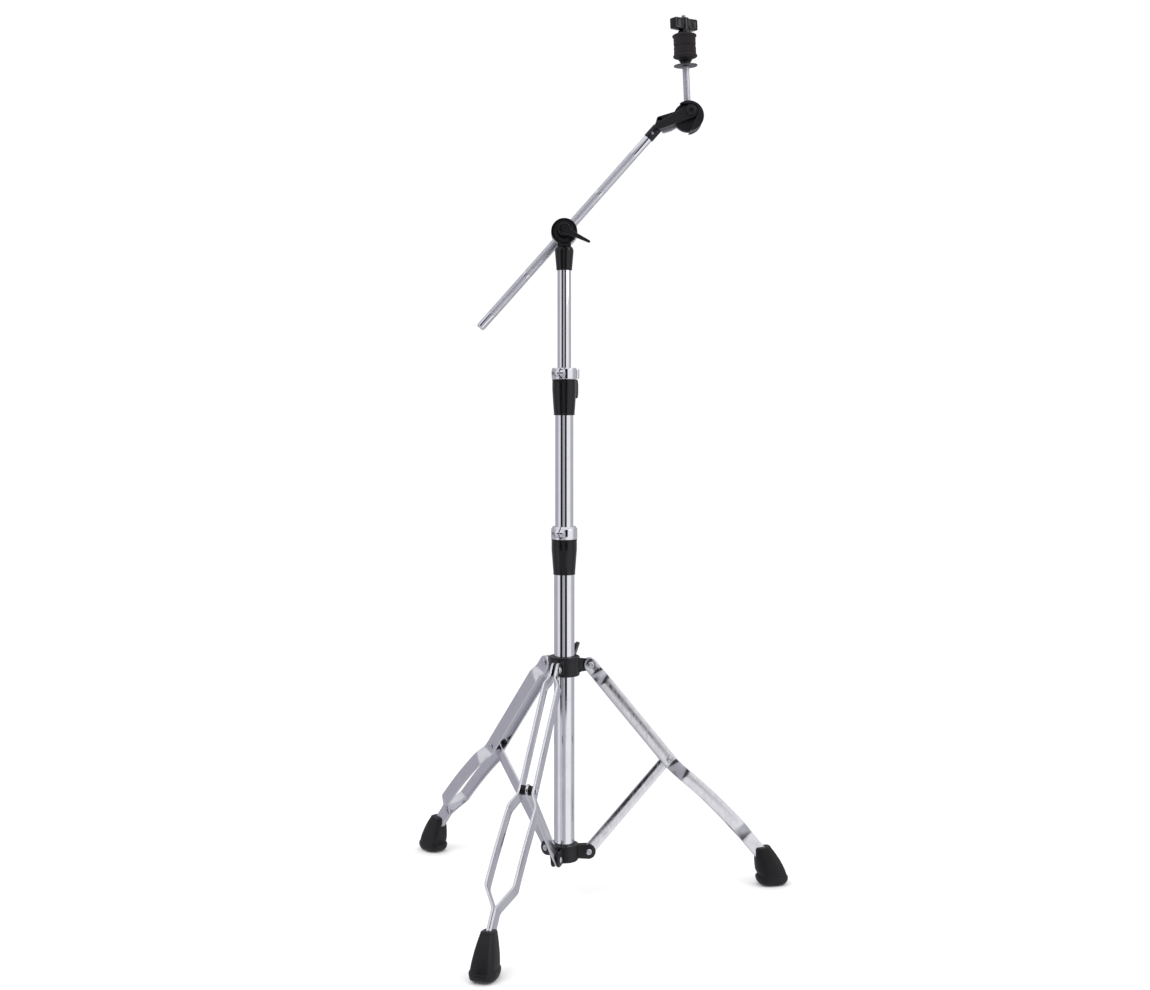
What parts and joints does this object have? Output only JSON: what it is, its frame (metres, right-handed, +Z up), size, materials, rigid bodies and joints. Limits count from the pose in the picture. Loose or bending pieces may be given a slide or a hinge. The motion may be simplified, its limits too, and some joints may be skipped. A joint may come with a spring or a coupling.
{
  "type": "cymbal boom stand",
  "caption": "Folding tripod stand with telescoping tubes, a clamped boom arm and a tilter with felts that holds a cymbal.",
  "frame": {"origin": "centre of the bounding box, on the floor under the stand", "axes": "+Z up along the tubes, +X the way the boom arm reaches, -Y the side the clamp lever faces"},
  "size_m": [0.5488, 0.5632, 1.2372],
  "materials": {
    "chrome_tubes": "bright chrome plate",
    "chrome_boom_arm": "satin knurled chrome with bright bands",
    "chrome_strips": "bright chrome plate",
    "chrome_fittings": "bright chrome plate",
    "steel_fasteners": "satin zinc plate",
    "black_castings": "satin black powder coat",
    "black_plastic": "glossy black moulding",
    "black_nylon": "matte black nylon",
    "rubber_feet": "matte black rubber",
    "black_felt": "black wool felt"
  },
  "bodies": {
    "base": {"base_tube": "chrome_tubes", "brace_bracket": "black_castings", "brace_rivet_right": "steel_fasteners", "brace_rivet_rear": "steel_fasteners", "brace_rivet_front": "steel_fasteners", "lower_collar": "black_plastic", "lower_bushing": "black_nylon", "lower_memory_lock": "chrome_fittings", "lower_key_bolt": "steel_fasteners"},
    "brace_right": {"brace_right": "chrome_strips"},
    "leg_right": {"leg_strip_left_right": "chrome_strips", "leg_strip_right_right": "chrome_strips", "foot_right": "rubber_feet", "knee_rivet_right": "steel_fasteners", "spacer_left_right": "black_nylon", "spacer_right_right": "black_nylon"},
    "brace_rear": {"brace_rear": "chrome_strips"},
    "leg_rear": {"leg_strip_left_rear": "chrome_strips", "leg_strip_right_rear": "chrome_strips", "foot_rear": "rubber_feet", "knee_rivet_rear": "steel_fasteners", "spacer_left_rear": "black_nylon", "spacer_right_rear": "black_nylon"},
    "brace_front": {"brace_front": "chrome_strips"},
    "leg_front": {"leg_strip_left_front": "chrome_strips", "leg_strip_right_front": "chrome_strips", "foot_front": "rubber_feet", "knee_rivet_front": "steel_fasteners", "spacer_left_front": "black_nylon", "spacer_right_front": "black_nylon"},
    "leg_collar": {"leg_bracket": "black_castings", "leg_bolt_right": "steel_fasteners", "leg_bolt_rear": "steel_fasteners", "leg_bolt_front": "steel_fasteners"},
    "leg_wing": {"leg_wing_bolt": "black_plastic"},
    "lower_wing": {"lower_wing_bolt": "black_plastic"},
    "middle": {"middle_tube": "chrome_tubes", "upper_collar": "black_plastic", "upper_bushing": "black_nylon", "upper_memory_lock": "chrome_fittings", "upper_key_bolt": "steel_fasteners"},
    "upper_wing": {"upper_wing_bolt": "black_plastic"},
    "upper": {"upper_tube": "chrome_tubes"},
    "swivel": {"clamp_sleeve": "black_plastic"},
    "clamp": {"turning_drum": "chrome_fittings", "eye_bolt": "steel_fasteners"},
    "lever": {"clamp_lever": "black_plastic"},
    "boom": {"boom_arm": "chrome_boom_arm"},
    "fork": {"tilter_fork": "black_castings", "fork_set_screw": "steel_fasteners", "tilter_bolt": "black_castings"},
    "head": {"tilter_head": "black_castings", "cymbal_rod": "chrome_fittings", "seat_washer": "steel_fasteners", "cymbal_sleeve": "black_nylon", "lower_felt": "black_felt"},
    "tilt_lever": {"tilter_lever": "chrome_fittings"},
    "felt": {"upper_felt": "black_felt"},
    "nut": {"wing_nut": "black_plastic"}
  },
  "joints": [
    {"name": "leg_fold", "type": "hinge", "parent": "base", "child": "brace_right", "pos_m": [-0.01421, 0.03968, 0.064], "axis": [0.2096, -0.9778, 0], "range_deg": [0, 34.53]},
    {"name": "knee_right", "type": "hinge", "parent": "brace_right", "child": "leg_right", "pos_m": [0.09824, 0.06379, 0.18784], "axis": [0.2096, -0.9778, 0], "range_deg": [-66.83, 0]},
    {"name": "brace_rear_swing", "type": "hinge", "parent": "base", "child": "brace_rear", "pos_m": [-0.07025, 0.05779, 0.064], "axis": [0.742, 0.6704, 0], "range_deg": [0, 34.53]},
    {"name": "knee_rear", "type": "hinge", "parent": "brace_rear", "child": "leg_rear", "pos_m": [-0.14735, 0.14311, 0.18784], "axis": [0.742, 0.6704, 0], "range_deg": [-66.83, 0]},
    {"name": "brace_front_swing", "type": "hinge", "parent": "base", "child": "brace_front", "pos_m": [-0.0579, 0.0002, 0.064], "axis": [-0.9516, 0.3074, 0], "range_deg": [0, 34.53]},
    {"name": "knee_front", "type": "hinge", "parent": "brace_front", "child": "leg_front", "pos_m": [-0.09325, -0.10923, 0.18784], "axis": [-0.9516, 0.3074, 0], "range_deg": [-66.83, 0]},
    {"name": "leg_collar_slide", "type": "hinge", "parent": "leg_right", "child": "leg_collar", "pos_m": [-0.01127, 0.04031, 0.3249], "axis": [0.2096, -0.9778, 0], "range_deg": [0, 32.3]},
    {"name": "leg_wing_turn", "type": "hinge", "parent": "leg_collar", "child": "leg_wing", "pos_m": [-0.04745, 0.03256, 0.3289], "axis": [0.3074, 0.9516, 0], "range_deg": [0, 360]},
    {"name": "lower_wing_turn", "type": "hinge", "parent": "base", "child": "lower_wing", "pos_m": [-0.04745, 0.03256, 0.48705], "axis": [-0.0349, 0.9994, 0], "range_deg": [0, 360]},
    {"name": "lower_height", "type": "slide", "parent": "base", "child": "middle", "axis": [0, 0, 1], "range_m": [-0.15, 0.14]},
    {"name": "upper_wing_turn", "type": "hinge", "parent": "middle", "child": "upper_wing", "pos_m": [-0.04745, 0.03256, 0.71055], "axis": [0.4695, 0.8829, 0], "range_deg": [0, 360]},
    {"name": "upper_height", "type": "slide", "parent": "middle", "child": "upper", "axis": [0, 0, 1], "range_m": [-0.13, 0.12]},
    {"name": "boom_swivel", "type": "hinge", "parent": "upper", "child": "swivel", "pos_m": [-0.04745, 0.03256, 0.9302], "axis": [0, 0, 1], "continuous": true},
    {"name": "boom_tilt", "type": "hinge", "parent": "swivel", "child": "clamp", "pos_m": [-0.04745, 0.03256, 0.9302], "axis": [0, -1, 0], "range_deg": [-70, 35]},
    {"name": "clamp_lever_turn", "type": "hinge", "parent": "clamp", "child": "lever", "pos_m": [-0.04745, 0.03256, 0.9302], "axis": [0, -1, 0], "range_deg": [0, 360]},
    {"name": "boom_slide", "type": "slide", "parent": "clamp", "child": "boom", "axis": [0.6639, 0, 0.7478], "range_m": [-0.15, 0.15]},
    {"name": "boom_roll", "type": "hinge", "parent": "boom", "child": "fork", "pos_m": [-0.04745, 0.05256, 0.9302], "axis": [0.6639, 0, 0.7478], "range_deg": [-180, 180]},
    {"name": "cymbal_tilt", "type": "hinge", "parent": "fork", "child": "head", "pos_m": [0.12987, 0.05256, 1.09919], "axis": [0, 1, 0], "range_deg": [-25, 40]},
    {"name": "tilter_lever_turn", "type": "hinge", "parent": "fork", "child": "tilt_lever", "pos_m": [0.12987, 0.05256, 1.09919], "axis": [0, 1, 0], "range_deg": [0, 360]},
    {"name": "felt_lift", "type": "slide", "parent": "head", "child": "felt", "axis": [-0.0436, 0, 0.999], "range_m": [0, 0.026]},
    {"name": "nut_turn", "type": "hinge", "parent": "felt", "child": "nut", "pos_m": [0.12656, 0.05256, 1.09239], "axis": [-0.0436, 0, 0.999], "range_deg": [0, 9362]}
  ],
  "couplings": [
    {"joint": "knee_right", "follows": "leg_fold", "ratio": -1.934},
    {"joint": "brace_rear_swing", "follows": "leg_fold", "ratio": 1},
    {"joint": "knee_rear", "follows": "leg_fold", "ratio": -1.934},
    {"joint": "brace_front_swing", "follows": "leg_fold", "ratio": 1},
    {"joint": "knee_front", "follows": "leg_fold", "ratio": -1.934},
    {"joint": "leg_collar_slide", "follows": "leg_fold", "ratio": 0.93397},
    {"joint": "nut_turn", "follows": "felt_lift", "rad_per_m": 6283.2}
  ]
}
